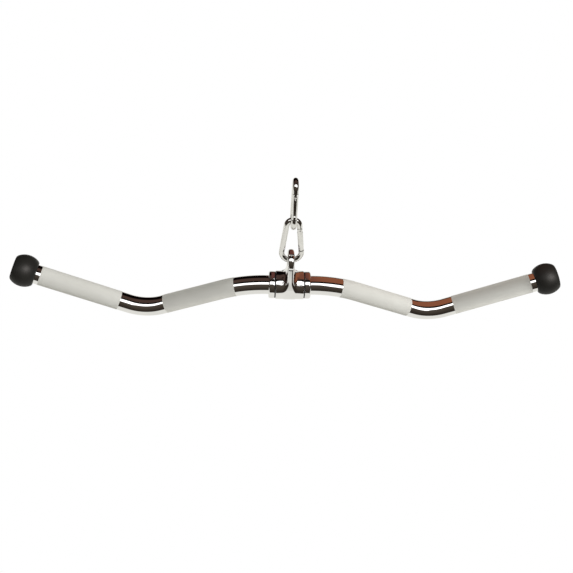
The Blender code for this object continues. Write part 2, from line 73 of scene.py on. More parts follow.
# %% Camera
CAMERA_AIM = Vector((-0.0041, 0, BAR_Z - 0.0034))
CAMERA_DISTANCE = 1.0314
CAMERA_ELEVATION = radians(42)
CAMERA_AZIMUTH = radians(3.774)
CAMERA_ROLL = radians(3.39)
FOCAL_LENGTH = 43.78


def make_camera():
    look = Vector((
        sin(CAMERA_AZIMUTH) * cos(CAMERA_ELEVATION),
        cos(CAMERA_AZIMUTH) * cos(CAMERA_ELEVATION),
        -sin(CAMERA_ELEVATION),
    ))
    side = look.cross(Vector((0, 0, 1))).normalized()
    above = side.cross(look)
    up = above * cos(CAMERA_ROLL) - side * sin(CAMERA_ROLL)
    right = look.cross(up)
    data = bpy.data.cameras.new("camera")
    data.lens = FOCAL_LENGTH
    data.sensor_width = 36
    data.clip_start = 0.01
    camera = bpy.data.objects.new("camera", data)
    bpy.context.scene.collection.objects.link(camera)
    turn = Matrix((right, up, -look)).transposed().to_4x4()
    camera.matrix_world = Matrix.Translation(CAMERA_AIM - look * CAMERA_DISTANCE) @ turn
    bpy.context.scene.camera = camera


make_camera()

# %% [markdown]
# ## Shader maths as expressions
# A finish is a small calculation over the surface. Written as nodes by hand it is hard to read, so one class
# wraps a socket and turns Python's operators into Math nodes. Everything that isn't arithmetic on numbers
# comes from one method that adds a node of a given type.

# %% Wrapper for shader sockets


class Socket:
    """A value in a node tree: arithmetic on it adds Math nodes."""

    def __init__(self, tree, link):
        self.tree = tree
        self.link = link

    def node(self, kind, settings=None, inputs=None, output=0):
        """Add a node: its settings first, then the values or links of its sockets."""
        node = self.tree.nodes.new(kind)
        for key, value in (settings or {}).items():
            if key == "stops":
                ramp = node.color_ramp
                while len(ramp.elements) < len(value):
                    ramp.elements.new(0.5)
                for element, (place, colour) in zip(ramp.elements, value):
                    element.position = place
                    element.color = (*colour, 1)
            else:
                setattr(node, key, value)
        for key, value in (inputs or {}).items():
            socket = node.inputs[key]
            if isinstance(value, Socket):
                self.tree.links.new(value.link, socket)
            else:
                socket.default_value = value
        return Socket(self.tree, node.outputs[output])

    def math(self, operation, other=None, swapped=False):
        """A Math node on this value, or on this one and another."""
        values = [self] if other is None else [self, other]
        if swapped:
            values.reverse()
        return self.node("ShaderNodeMath", {"operation": operation}, dict(enumerate(values)))

    def __add__(self, other):
        return self.math("ADD", other)

    def __sub__(self, other):
        return self.math("SUBTRACT", other)

    def __rsub__(self, other):
        return self.math("SUBTRACT", other, swapped=True)

    def __mul__(self, other):
        return self.math("MULTIPLY", other)

    __radd__ = __add__
    __rmul__ = __mul__

    def ramp(self, *stops):
        """A colour for each value, given as (value, colour) stops."""
        return self.node("ShaderNodeValToRGB", {"stops": stops}, {"Fac": self})

    def between(self, low, high):
        """0 below low, 1 above high and a smooth step from one to the other."""
        return self.node(
            "ShaderNodeMapRange",
            {"interpolation_type": "SMOOTHSTEP"},
            {"Value": self, "From Min": low, "From Max": high},
        )

    def mix(self, first, second):
        """This value as the share of the second of two colours."""
        return self.node(
            "ShaderNodeMix", {"data_type": "RGBA"}, {0: self, 6: colour_of(first), 7: colour_of(second)}, 2
        )


def colour_of(value):
    return value if isinstance(value, Socket) else (*value, 1)


def start_material(name):
    """A new material, with its shader, and a first socket: the surface's own coordinates in metres."""
    material = bpy.data.materials.new(name)
    material.use_nodes = True
    tree = material.node_tree
    shader = tree.nodes["Principled BSDF"]
    place = Socket(tree, tree.nodes.new("ShaderNodeTexCoord").outputs["Object"])
    return material, shader, place


def feed(shader, **inputs):
    """Set the shader's sockets: a number or colour on the socket itself, or a link."""
    for key, value in inputs.items():
        socket = shader.inputs[key.replace("_", " ")]
        if isinstance(value, Socket):
            value.tree.links.new(value.link, socket)
        elif isinstance(value, tuple):
            socket.default_value = (*value, 1)
        else:
            socket.default_value = value


def noise(place, scale, detail=3.0, roughness=0.5):
    inputs = {"Vector": place, "Scale": scale, "Detail": detail, "Roughness": roughness}
    return place.node("ShaderNodeTexNoise", None, inputs)


def bump(height, strength, distance):
    inputs = {"Height": height, "Strength": strength, "Distance": distance}
    return height.node("ShaderNodeBump", None, inputs)


# %% [markdown]
# ## Finishes
# Chrome plate on a bent tube is a nearly perfect mirror with a faint orange peel and a few wiped smudges.
# The hooks are bright nickel, a touch warmer and less even. The knurled grips are the same plate over
# thousands of small points that scatter the light, so they read as pale warm grey, with painted shade that
# darkens the valleys between the points. The balls are moulded rubber: nearly black, with a fine grain and a
# broad, dim sheen.

# %% Chrome and nickel


def chrome():
    material, shader, place = start_material("chrome_plate")
    smudge = noise(place, 38.0, 4.0, 0.6)
    peel = noise(place, 420.0, 2.0)
    feed(
        shader,
        Base_Color=smudge.ramp((0.3, (0.80, 0.80, 0.805)), (0.7, (0.87, 0.87, 0.87))),
        Metallic=1.0,
        Roughness=0.018 + 0.022 * smudge.between(0.45, 0.75),
        Normal=bump(peel, 0.012, 0.0004),
    )
    return material


def nickel():
    material, shader, place = start_material("bright_nickel")
    smudge = noise(place, 90.0, 4.0, 0.6)
    peel = noise(place, 700.0, 2.0)
    feed(
        shader,
        Base_Color=smudge.ramp((0.3, (0.74, 0.735, 0.72)), (0.7, (0.84, 0.835, 0.82))),
        Metallic=1.0,
        Roughness=0.08 + 0.08 * smudge.between(0.4, 0.75),
        Normal=bump(peel, 0.04, 0.0003),
    )
    return material


def knurled_plate():
    """Pale points over valleys that painted shade darkens: the relief itself is in the mesh, and so is the
    value that says how high each corner stands."""
    material, shader, place = start_material("knurled_plate")
    height = place.node("ShaderNodeAttribute", {"attribute_name": "knurl_height"}, None, 2)
    tone = noise(place, 60.0, 3.0)
    wear = tone.ramp((0.35, (0.78, 0.77, 0.715)), (0.7, (0.84, 0.83, 0.775)))
    feed(
        shader,
        # Painted shade: the low corners of the knurl take a darker grey than its points, as if the valleys
        # were shaded.
        Base_Color=height.mix((0.48, 0.473, 0.438), wear),
        Metallic=0.08,
        Roughness=0.6 + 0.12 * tone,
        Specular_IOR_Level=0.25,
    )
    return material


# %% Rubber, nylon and the hidden metals


def rubber():
    material, shader, place = start_material("moulded_rubber")
    grain = noise(place, 1500.0, 3.0, 0.6)
    bloom = noise(place, 55.0, 3.0)
    feed(
        shader,
        Base_Color=bloom.ramp((0.35, (0.006, 0.006, 0.0055)), (0.7, (0.008, 0.008, 0.007))),
        Roughness=0.44 + 0.08 * bloom,
        Specular_IOR_Level=0.17,
        Normal=bump(grain, 0.15, 0.0002),
    )
    return material


def nylon():
    material, shader, place = start_material("black_nylon")
    grain = noise(place, 900.0, 2.0)
    feed(
        shader,
        Base_Color=grain.ramp((0.3, (0.014, 0.014, 0.014)), (0.7, (0.026, 0.026, 0.026))),
        Roughness=0.5 + 0.1 * grain,
    )
    return material


def turned_metal(name, dark, light, roughness):
    """A lathe-turned metal: fine rings along the axis of the bar."""
    material, shader, place = start_material(name)
    lines = place.node("ShaderNodeTexWave", {"wave_type": "BANDS", "bands_direction": "X"}, {
        "Vector": place, "Scale": 1400.0, "Distortion": 0.6, "Detail": 2.0,
    }, 1)
    feed(
        shader,
        Base_Color=lines.ramp((0.2, dark), (0.8, light)),
        Metallic=1.0,
        Roughness=roughness + 0.1 * lines,
        Normal=bump(lines, 0.1, 0.0001),
    )
    return material


finishes = {
    "chrome": chrome(),
    "nickel": nickel(),
    "knurl": knurled_plate(),
    "rubber": rubber(),
    "nylon": nylon(),
    "bronze": turned_metal("bearing_bronze", (0.50, 0.32, 0.15), (0.66, 0.45, 0.22), 0.32),
    "spring": turned_metal("spring_steel", (0.45, 0.45, 0.46), (0.60, 0.60, 0.61), 0.28),
    "oxide": turned_metal("black_oxide_steel", (0.05, 0.05, 0.055), (0.10, 0.10, 0.11), 0.4),
}
print("finishes:", ", ".join(sorted(finishes)))

# %% [markdown]
# ## Geometry Nodes from Python
# The bar and the hooks are round bars along a path. A Geometry Nodes tree that sweeps a circle along a
# chain of points makes both, and the same tree raises the knurl where the path says so. The helper below
# adds nodes by type and links them, so that a tree reads from top to bottom.

# %% Helpers for node trees and for plain meshes
WELD_DISTANCE = 1e-6


def add_object(name, mesh):
    obj = bpy.data.objects.new(name, mesh)
    bpy.context.scene.collection.objects.link(obj)
    return obj


def mesh_of(bm, name):
    """A plain mesh with what the bmesh holds, and the bmesh freed."""
    mesh = bpy.data.meshes.new(name)
    bm.to_mesh(mesh)
    bm.free()
    return mesh


def baked(obj):
    """The object's evaluated mesh, with doubled points welded, and the object removed."""
    bpy.context.view_layer.update()
    graph = bpy.context.evaluated_depsgraph_get()
    mesh = bpy.data.meshes.new_from_object(obj.evaluated_get(graph))
    mesh.transform(obj.matrix_world)
    bm = bmesh.new()
    bm.from_mesh(mesh)
    bmesh.ops.remove_doubles(bm, verts=bm.verts, dist=WELD_DISTANCE)
    bmesh.ops.recalc_face_normals(bm, faces=bm.faces)
    bm.to_mesh(mesh)
    bm.free()
    bpy.data.objects.remove(obj, do_unlink=True)
    return mesh


def new_tree(name, *inputs):
    """A geometry tree with a geometry input, the named inputs given as (name, type), and one output."""
    tree = bpy.data.node_groups.new(name, "GeometryNodeTree")
    tree.interface.new_socket("Geometry", in_out="INPUT", socket_type="NodeSocketGeometry")
    identifiers = {}
    for title, kind in inputs:
        socket = tree.interface.new_socket(title, in_out="INPUT", socket_type=kind)
        identifiers[title] = socket.identifier
    tree.interface.new_socket("Geometry", in_out="OUTPUT", socket_type="NodeSocketGeometry")
    return tree, identifiers


def add_node(tree, kind, settings=None, **inputs):
    """The first output of a new node: settings first, then what its sockets get, by name or as i0, i1."""
    node = tree.nodes.new(kind)
    for key, value in (settings or {}).items():
        setattr(node, key, value)
    for key, value in inputs.items():
        by_index = key[0] == "i" and key[1:].isdigit()
        socket = node.inputs[int(key[1:]) if by_index else key.replace("_", " ")]
        if hasattr(value, "is_output"):
            tree.links.new(value, socket)
        else:
            socket.default_value = value
    return node.outputs[0]


def run_tree(tree, identifiers, mesh, values):
    """Run the tree on a mesh and return the plain mesh that it makes."""
    obj = add_object("path", mesh)
    modifier = obj.modifiers.new("Shape", "NODES")
    modifier.node_group = tree
    for title, value in values.items():
        modifier[identifiers[title]] = value
    return baked(obj)


# %% [markdown]
# ## The swept bar
# On the real object the tube is bent first and the grips are then rolled between two wheels, which press in
# a diamond pattern without taking any metal away. Here each point of the path carries two values: how high
# the knurl stands there, and whether the ring is an even or an odd one. The circle carries the same for its
# corners. Where both are even, or both odd, the corner is raised, and that checkerboard of raised corners is
# a field of four-sided points.

# %% Tree that sweeps a round bar and raises the knurl


def sweep_tree():
    tree, identifiers = new_tree(
        "swept_bar",
        ("Radius", "NodeSocketFloat"),
        ("Sides", "NodeSocketInt"),
        ("Plain finish", "NodeSocketMaterial"),
        ("Knurl finish", "NodeSocketMaterial"),
    )
    given = tree.nodes.new("NodeGroupInput").outputs

    def maths(operation, first, second):
        return add_node(tree, "ShaderNodeMath", {"operation": operation}, i0=first, i1=second)

    def store(geometry, name, value):
        return add_node(
            tree, "GeometryNodeStoreNamedAttribute", {"data_type": "FLOAT", "domain": "POINT"},
            Geometry=geometry, Name=name, Value=value,
        )

    def stored(name):
        return add_node(tree, "GeometryNodeInputNamedAttribute", {"data_type": "FLOAT"}, Name=name)

    sides, radius = given["Sides"], given["Radius"]
    circle = add_node(tree, "GeometryNodeCurvePrimitiveCircle", Resolution=sides, Radius=radius)
    index = add_node(tree, "GeometryNodeInputIndex")
    profile = store(circle, "corner_is_odd", maths("MODULO", index, 2.0))
    path = add_node(tree, "GeometryNodeMeshToCurve", Mesh=given["Geometry"])
    swept_mesh = add_node(tree, "GeometryNodeCurveToMesh", Curve=path, Profile_Curve=profile, Fill_Caps=True)
    both = maths("ADD", stored("corner_is_odd"), stored("ring_is_odd"))
    raised = maths("SUBTRACT", 1.0, maths("MODULO", both, 2.0))
    relief = stored("relief")
    height = maths("MULTIPLY", maths("SUBTRACT", raised, 0.5), relief)
    marked = store(swept_mesh, "knurl_height", raised)
    outward = add_node(tree, "GeometryNodeInputNormal")
    scale = {"operation": "SCALE"}
    offset = add_node(tree, "ShaderNodeVectorMath", scale, i0=outward, Scale=height)
    raised_mesh = add_node(tree, "GeometryNodeSetPosition", Geometry=marked, Offset=offset)
    knurled = add_node(
        tree, "FunctionNodeCompare", {"data_type": "FLOAT", "operation": "GREATER_THAN"}, i0=relief, i1=1e-7
    )
    real = add_node(tree, "GeometryNodeRealizeInstances", Geometry=raised_mesh)
    plain = add_node(tree, "GeometryNodeSetMaterial", Geometry=real, Material=given["Plain finish"])
    done = add_node(
        tree, "GeometryNodeSetMaterial", Geometry=plain, Selection=knurled, Material=given["Knurl finish"]
    )
    tree.links.new(done, tree.nodes.new("NodeGroupOutput").inputs[0])
    return tree, identifiers


bar_tree, bar_inputs = sweep_tree()


def path_mesh(points, relief=None):
    """A chain of points with the values that the tree reads."""
    mesh = bpy.data.meshes.new("path")
    mesh.from_pydata(points, [(i, i + 1) for i in range(len(points) - 1)], [])
    height = mesh.attributes.new("relief", "FLOAT", "POINT")
    odd = mesh.attributes.new("ring_is_odd", "FLOAT", "POINT")
    height.data.foreach_set("value", relief or [0.0] * len(points))
    odd.data.foreach_set("value", [float(i % 2) for i in range(len(points))])
    return mesh


def swept(points, radius, sides, finish="nickel", relief=None):
    return run_tree(bar_tree, bar_inputs, path_mesh(points, relief), {
        "Radius": radius,
        "Sides": sides,
        "Plain finish": finishes[finish],
        "Knurl finish": finishes["knurl"],
    })


# %% [markdown]
# ## Where the tube goes
# The centre line is straight in the hanger, falls away over a long shoulder, turns up again in a tight
# valley and rises to the ball. It is made of straight runs and arcs, so a function that gives the place for
# a distance along it is enough. The grips are measured along the tube from its middle.

# %% The tube's centre line
TUBE_RADIUS, TUBE_SIDES = 0.014, 112
CENTRE_STRAIGHT_HALF = 0.0357
SHOULDER_RADIUS, SHOULDER_SLOPE = 0.187, radians(19.9)
INNER_RUN = 0.096
VALLEY_RADIUS, OUTER_RISE = 0.0675, radians(23.7)
OUTER_RUN = 0.1665
GRIPS = {
    "left": ((0.0800, 0.1905), (0.2626, 0.3798)),
    "right": ((0.0768, 0.1895), (0.2626, 0.3785)),
}
KNURL_STEP = 0.00079
KNURL_HEIGHT = 0.00022
BEND_STEP = 0.0022


def stretches():
    """The centre line's pieces: length and how far each turns."""
    return (
        (CENTRE_STRAIGHT_HALF, 0.0),
        (SHOULDER_RADIUS * SHOULDER_SLOPE, -SHOULDER_SLOPE),
        (INNER_RUN, 0.0),
        (VALLEY_RADIUS * (SHOULDER_SLOPE + OUTER_RISE), SHOULDER_SLOPE + OUTER_RISE),
        (OUTER_RUN, 0.0),
    )


def place_on_tube(distance):
    """The place at a distance along the right half, and the heading there."""
    x, z, heading = 0.0, 0.0, 0.0
    for length, turn in stretches():
        part = min(distance, length)
        bent = turn * part / length
        chord = part * sin(bent / 2) / (bent / 2) if bent else part
        x += chord * cos(heading + bent / 2)
        z += chord * sin(heading + bent / 2)
        heading += bent
        distance -= part
        if distance <= 0:
            break
    return Vector((x, 0, BAR_Z + z)), heading


tube_length = sum(length for length, _ in stretches())
print("tube", round(tube_length * 2000), "mm along its middle")

# %% The tube


def ring_stations(side):
    """Where the rings of a half stand: close and even in a grip, wider over the plain plate."""
    stations = []
    grips = GRIPS[side]
    edges = sorted({0.0, tube_length, *(edge for grip in grips for edge in grip)})
    for start, end in zip(edges, edges[1:]):
        in_grip = (start, end) in grips
        count = round((end - start) / (KNURL_STEP if in_grip else BEND_STEP))
        count += count % 2
        for i in range(count):
            at = start + (end - start) * i / count
            inside = in_grip and i > 0
            stations.append((at, KNURL_HEIGHT if inside else 0.0))
    stations.append((tube_length, 0.0))
    return stations


def make_tube():
    """The tube as one sweep, from the left end to the right."""
    points, relief = [], []
    for side, sign in (("left", -1), ("right", 1)):
        stations = ring_stations(side)
        if side == "left":
            stations = stations[:0:-1]
        for at, height in stations:
            place, _ = place_on_tube(at)
            points.append(Vector((sign * place.x, 0, place.z)))
            relief.append(height)
    mesh = swept(points, TUBE_RADIUS, TUBE_SIDES, "chrome", relief)
    mesh.shade_smooth()
    piece = add_object("bent_tube", mesh)
    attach(piece, "bar")
    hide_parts("cambered_bar")
    print("tube:", len(mesh.polygons), "faces,", len(points), "rings")


make_tube()

# %% [markdown]
# ## Turned pieces
# The collars, washers and end balls are turned or moulded round the tube's axis. Each is a half profile
# spun with a Screw modifier, which is the way such a piece is drawn for a lathe. Edges are real arcs, since
# a sharp corner on plated steel would catch no light.

# %% Helpers for turned pieces


def rounded(x, radius, edge, steps, back=False):
    """Profile points that round the corner at (x, radius), on the front end or the back one."""
    angles = [pi / 2 * (back + i / steps) for i in range(steps + 1)]
    centre_x = x + edge if back else x - edge
    return [(centre_x + edge * cos(a), radius - edge + edge * sin(a)) for a in angles]


def turned(profile, sides=96):
    """A solid of revolution about X from (x, radius) points, from the far end back along the outside."""
    bm = bmesh.new()
    verts = [bm.verts.new((radius, 0, x)) for x, radius in profile]
    for first, second in zip(verts, verts[1:]):
        bm.edges.new((first, second))
    if min(radius for _, radius in profile) > 0:
        bm.edges.new((verts[-1], verts[0]))
    obj = add_object("profile", mesh_of(bm, "profile"))
    screw = obj.modifiers.new("Turn", "SCREW")
    screw.steps = sides
    screw.render_steps = sides
    screw.use_merge_vertices = True
    screw.merge_threshold = WELD_DISTANCE
    solid = baked(obj)
    solid.transform(Matrix.Rotation(pi / 2, 4, "Y"))
    return solid


def finish_piece(name, mesh, finish, body, *nodes, slot=None, sharp=32):
    """A finished piece in the scene: smooth but for real edges, riding on its body for its CAD nodes."""
    mesh.materials.clear()
    mesh.materials.append(finishes[finish])
    mesh.shade_smooth()
    mesh.set_sharp_from_angle(angle=radians(sharp))
    piece = add_object(name, mesh)
    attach(piece, body)
    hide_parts(*nodes)
    return piece


def mirrored(mesh):
    mesh.transform(Matrix.Scale(-1, 4, (1, 0, 0)))
    mesh.flip_normals()
    return mesh


def for_both_sides(make):
    for side in ("left", "right"):
        make(side, mirrored if side == "left" else lambda mesh: mesh)


# %% Helpers for cuts


def combine(mesh, *steps):
    """Join meshes to a mesh or cut them from it, in order."""
    body = add_object("body", mesh)
    others = []
    for operation, other_mesh in steps:
        other = add_object("other", other_mesh)
        others.append(other)
        modifier = body.modifiers.new(operation.title(), "BOOLEAN")
        modifier.operation = operation
        modifier.object = other
        modifier.solver = "EXACT"
    result = baked(body)
    for other in others:
        bpy.data.objects.remove(other, do_unlink=True)
    return result


def rod(start, end, radius, sides=32):
    """A round bar from one point to another."""
    start, end = Vector(start), Vector(end)
    bm = bmesh.new()
    bmesh.ops.create_cone(
        bm, cap_ends=True, segments=sides, radius1=radius, radius2=radius, depth=(end - start).length
    )
    turn = (end - start).to_track_quat("Z", "Y").to_matrix().to_4x4()
    bmesh.ops.transform(bm, matrix=Matrix.Translation((start + end) / 2) @ turn, verts=bm.verts)
    return mesh_of(bm, "rod")


# %% Collars and washers
FIT_GAP = 0.00015
COLLAR_EDGE, COLLAR_BACK_EDGE, WASHER_EDGE = 0.0028, 0.0004, 0.00025


def make_collar(side, placed):
    """A ring, well rounded on its outer face, with the hole for its set screw."""
    low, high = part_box("collar_right")
    radius = (high.z - low.z) / 2
    bore = TUBE_RADIUS + FIT_GAP
    mesh = turned(
        rounded(high.x, radius, COLLAR_EDGE, 8)
        + rounded(low.x, radius, COLLAR_BACK_EDGE, 3, back=True)
        + [(low.x, bore), (high.x, bore)],
        128,
    )
    mesh.transform(Matrix.Translation((0, 0, BAR_Z)))
    screw_low, screw_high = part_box("set_screw_right")
    screw_x = (screw_low.x + screw_high.x) / 2
    hole = rod(
        (screw_x, screw_low.y, BAR_Z),
        (screw_x, screw_high.y * 1.3, BAR_Z),
        (screw_high.x - screw_low.x) / 2 + FIT_GAP,
    )
    mesh = combine(mesh, ("DIFFERENCE", hole))
    finish_piece("collar_ring_" + side, placed(mesh), "chrome", "bar", "collar_" + side, slot="chrome")


def make_washer(side, placed):
    """The thin black ring between the collar and the hanger."""
    low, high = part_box("thrust_washer_right")
    radius = (high.z - low.z) / 2
    bore = TUBE_RADIUS + FIT_GAP
    mesh = turned(
        rounded(high.x, radius, WASHER_EDGE, 3)
        + rounded(low.x, radius, WASHER_EDGE, 3, back=True)
        + [(low.x, bore), (high.x, bore)],
    )
    mesh.transform(Matrix.Translation((0, 0, BAR_Z)))
    name = "thrust_washer_" + side
    finish_piece("nylon_washer_" + side, placed(mesh), "nylon", "bar", name, slot="black_nylon")


for_both_sides(make_collar)
for_both_sides(make_washer)

# %% [markdown]
# ## End balls
# A moulded rubber ball with a flat at each end. The outer flat runs into the ball over a small soft edge,
# and the mouth round the tube is rounded too. The ball is pushed 28.5 mm over the tube, so its inside is a
# blind pocket.

# %% End balls
BALL_RADIUS = 0.02325
BALL_OUTER_FLAT, BALL_INNER_FLAT = 0.01625, 0.01715
BALL_GRIP_DEPTH = 0.0285
BALL_EDGE, BALL_MOUTH, BALL_SLACK = 0.0028, 0.0004, 0.0003


def ball_profile():
    """The ball's half profile, and how far its centre lies inside the tube's end."""
    outer_x = sqrt(BALL_RADIUS ** 2 - BALL_OUTER_FLAT ** 2)
    inner_x = -sqrt(BALL_RADIUS ** 2 - BALL_INNER_FLAT ** 2)
    pocket = TUBE_RADIUS + BALL_SLACK
    start, end = atan2(BALL_OUTER_FLAT, outer_x), atan2(BALL_INNER_FLAT, inner_x)
    cut = BALL_EDGE / BALL_RADIUS
    side = [start + cut + (end - start - 2 * cut) * i / 40 for i in range(41)]
    corners = [(BALL_RADIUS * cos(a), BALL_RADIUS * sin(a)) for a in side]

    def softened(flat_point, corner, ball_point):
        """A quadratic curve from the flat to the ball that rounds the corner between them."""
        points = []
        for i in range(1, 6):
            t = i / 6
            points.append(tuple(
                (1 - t) ** 2 * a + 2 * t * (1 - t) * b + t ** 2 * c
                for a, b, c in zip(flat_point, corner, ball_point)
            ))
        return points

    outer_flat = (outer_x, BALL_OUTER_FLAT - BALL_EDGE)
    inner_flat = (inner_x, BALL_INNER_FLAT - BALL_EDGE / 2)
    profile = [(outer_x, 0), outer_flat]
    profile += softened(outer_flat, (outer_x, BALL_OUTER_FLAT), corners[0])
    profile += corners
    profile += softened(inner_flat, (inner_x, BALL_INNER_FLAT), corners[-1])[::-1]
    profile += [inner_flat, (inner_x, pocket + BALL_MOUTH), (inner_x + BALL_MOUTH, pocket)]
    pocket_end = inner_x + BALL_GRIP_DEPTH + BALL_SLACK
    return profile + [(pocket_end, pocket), (pocket_end, 0)], BALL_GRIP_DEPTH + inner_x


def make_ball(side, placed):
    """A ball pushed over the tube's end, along the tube's heading there."""
    profile, back = ball_profile()
    end, heading = place_on_tube(tube_length)
    centre = end - back * Vector((cos(heading), 0, sin(heading)))
    mesh = turned(profile)
    mesh.transform(Matrix.Translation(centre) @ Matrix.Rotation(-heading, 4, "Y"))
    name = "end_ball_" + side
    finish_piece("rubber_ball_" + side, placed(mesh), "rubber", "bar", name, slot="black_rubber")


for_both_sides(make_ball)

# %% [markdown]
# ## The hanger
# The hanger is one casting: a sleeve for the tube, and an eye lug that grows out of it with fillets. Seen
# from the front the lug is a narrow strip that spreads over the sleeve like a foot. It is lofted in rings
# from the eye's throat to its rim, with its thickness read from the distance to the sleeve, so the fillets
# come from one formula. It is then joined to the sleeve, which is bored last.

# %% Hanger
BARREL_RADIUS, BARREL_HALF = 0.021, 0.0205
LUG_THICKNESS, LUG_RADIUS, LUG_EDGE = 0.0094, 0.0179, 0.0034
LUG_TOP_FILLET, LUG_FRONT_FILLET, LUG_STANDS_PROUD = 0.013, 0.0085, 0.0006
EYE_RADIUS, EYE_HEIGHT, EYE_EDGE = 0.0074, 0.0450, 0.004
WIDENS_FROM, WIDENS_OVER = 62, 28
ROOT_SHARE = 0.03
BARREL_EDGE, BUSHING_GAP = 0.0006, 0.00012
FAR = 1.0


def lug_mesh(around=160, bands=26, steps=6):
    """The eye lug, in rings round its eye."""
    base_radius = BARREL_RADIUS + LUG_STANDS_PROUD
    flank = asin((base_radius - LUG_RADIUS) / EYE_HEIGHT)

    def rim_distance(direction):
        """How far the lug's outline is from the eye's centre in a direction."""
        down = -direction[1]
        if down <= sin(flank):
            return LUG_RADIUS
        normal = cos(flank) * abs(direction[0]) - sin(flank) * down
        to_flank = LUG_RADIUS / normal if normal > 0 else FAR
        if sqrt(max(0, to_flank ** 2 - LUG_RADIUS ** 2)) <= EYE_HEIGHT * cos(flank):
            return to_flank
        return EYE_HEIGHT * down + sqrt(base_radius ** 2 - (EYE_HEIGHT * direction[0]) ** 2)

    def half_thickness(place):
        """Half the lug's thickness: the fillet is wide on top of the sleeve and tight in front."""
        above_front = degrees(atan2(place[1], abs(place[0])))
        share = min(1, max(0, (above_front - WIDENS_FROM) / WIDENS_OVER))
        share = share * share * (3 - 2 * share)
        fillet = LUG_FRONT_FILLET + (LUG_TOP_FILLET - LUG_FRONT_FILLET) * share
        out = hypot(*place) - BARREL_RADIUS + ROOT_SHARE * fillet
        if out <= 0:
            return LUG_THICKNESS / 2 + fillet
        if out >= fillet:
            return LUG_THICKNESS / 2
        return LUG_THICKNESS / 2 + fillet - sqrt(fillet ** 2 - (fillet - out) ** 2)

    edge_angles = [pi / 2 * i / steps for i in range(steps + 1)]
    spokes = []
    for i in range(around):
        angle = 2 * pi * i / around
        direction = (sin(angle), cos(angle))
        rim = rim_distance(direction)
        stations = [(EYE_RADIUS + EYE_EDGE * (1 - cos(a)), EYE_EDGE * (1 - sin(a))) for a in edge_angles]
        first, last = EYE_RADIUS + EYE_EDGE, rim - LUG_EDGE
        stations += [(first + (last - first) * k / bands, 0) for k in range(1, bands)]
        stations += [(rim - LUG_EDGE * (1 - cos(a)), LUG_EDGE * (1 - sin(a))) for a in reversed(edge_angles)]
        spoke = []
        for distance, drop in stations:
            place = (direction[0] * distance, EYE_HEIGHT + direction[1] * distance)
            spoke.append((half_thickness(place) - drop, *place))
        spokes.append(spoke)
    bm = bmesh.new()
    front = [[bm.verts.new(p) for p in spoke] for spoke in spokes]
    back = [[bm.verts.new((-p[0], p[1], p[2])) for p in spoke] for spoke in spokes]
    for i in range(around):
        j = (i + 1) % around
        for side in (front, back):
            for k in range(len(side[i]) - 1):
                bm.faces.new((side[i][k], side[i][k + 1], side[j][k + 1], side[j][k]))
        for k in (0, -1):
            bm.faces.new((front[i][k], front[j][k], back[j][k], back[i][k]))
    bmesh.ops.recalc_face_normals(bm, faces=bm.faces)
    return mesh_of(bm, "lug")


def make_hanger():
    """Sleeve and lug joined first, then bored in one cut, as the casting is."""
    low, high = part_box("bushing_right")
    bore = (high.z - low.z) / 2 + BUSHING_GAP
    barrel = turned(
        rounded(BARREL_HALF, BARREL_RADIUS, BARREL_EDGE, 4)
        + rounded(-BARREL_HALF, BARREL_RADIUS, BARREL_EDGE, 4, back=True)
        + [(-BARREL_HALF, bore / 2), (BARREL_HALF, bore / 2)],
        160,
    )
    core = rod((-BARREL_HALF * 1.3, 0, 0), (BARREL_HALF * 1.3, 0, 0), bore, 96)
    mesh = combine(barrel, ("UNION", lug_mesh()), ("DIFFERENCE", core))
    mesh.transform(Matrix.Translation((0, 0, BAR_Z)))
    piece = finish_piece("cast_hanger", mesh, "chrome", "hanger", "swivel_hanger", slot="chrome", sharp=50)
    print("hanger:", len(piece.data.polygons), "faces")


make_hanger()

# %% [markdown]
# ## Snap hooks
# A snap hook starts as a cut length of wire. It is bent into a pear, one end is flattened into a tang for
# the gate's fork and rivet, and the other into a nose with a notch for the latch pin. The gate is a short
# rod, slotted at both ends and bored for its spring. Both hooks are made by one class in a frame of their
# own, with the narrow bow up and what the hook hangs on at the origin, and are then turned into place.

# %% Hook sizes
WIRE_RADIUS = 0.004
SEAT_GAP = 0.0003
HOOK_SEAT = 2 * WIRE_RADIUS + SEAT_GAP
HOOK_LENGTH, HOOK_WIDTH, NARROW_BOW_WIDTH = 0.0785, 0.0358, 0.0256
HINGE_FROM_BOW, LATCH_FROM_BOW = 0.0085, 0.0075
TANG_THICKNESS, NOSE_THICKNESS, FORK_DEPTH = 0.003, 0.0026, 0.0044
RIVET_RADIUS, LATCH_PIN_RADIUS = 0.0013, 0.001
SPRING_WIRE_RADIUS, SPRING_RADIUS, SPRING_TURNS = 0.0003, 0.0017, 6
SPRING_START, SPRING_LENGTH = 0.0078, 0.0087
SPRING_STEPS = 24
FLAT_INSET, FLAT_ROOT, TANG_FLAT = 0.0003, 0.0022, 0.65
NOTCH_GAP, NOSE_LIP, NOSE_LEAD, NOSE_ROOM = 0.0004, 0.002, 0.0008, 0.0032
GATE_EDGE, GATE_END_CUT, GATE_BORE_RADIUS = 0.0008, 0.0007, 0.0023
RIVET_HEAD, PIN_EDGE, JUST_INSIDE = 0.0003, 0.0002, 0.0001
HOOK_FRAMES = {
    "lower": Matrix.Translation((0, 0, HOOK_PIVOT_Z)),
    "upper": Matrix.Translation((0, 0, WIRE_RADIUS - HOOK_SEAT)) @ Matrix.Rotation(-pi / 2, 4, "Z"),
}


def plate(outline, thickness):
    """A flat plate in the XZ plane from its outline."""
    bm = bmesh.new()
    face = bm.faces.new([bm.verts.new((x, -thickness / 2, z)) for x, z in outline])
    grown = bmesh.ops.extrude_face_region(bm, geom=[face])
    moved = [item for item in grown["geom"] if isinstance(item, bmesh.types.BMVert)]
    bmesh.ops.translate(bm, vec=(0, thickness, 0), verts=moved)
    bmesh.ops.recalc_face_normals(bm, faces=bm.faces)
    return mesh_of(bm, "plate")


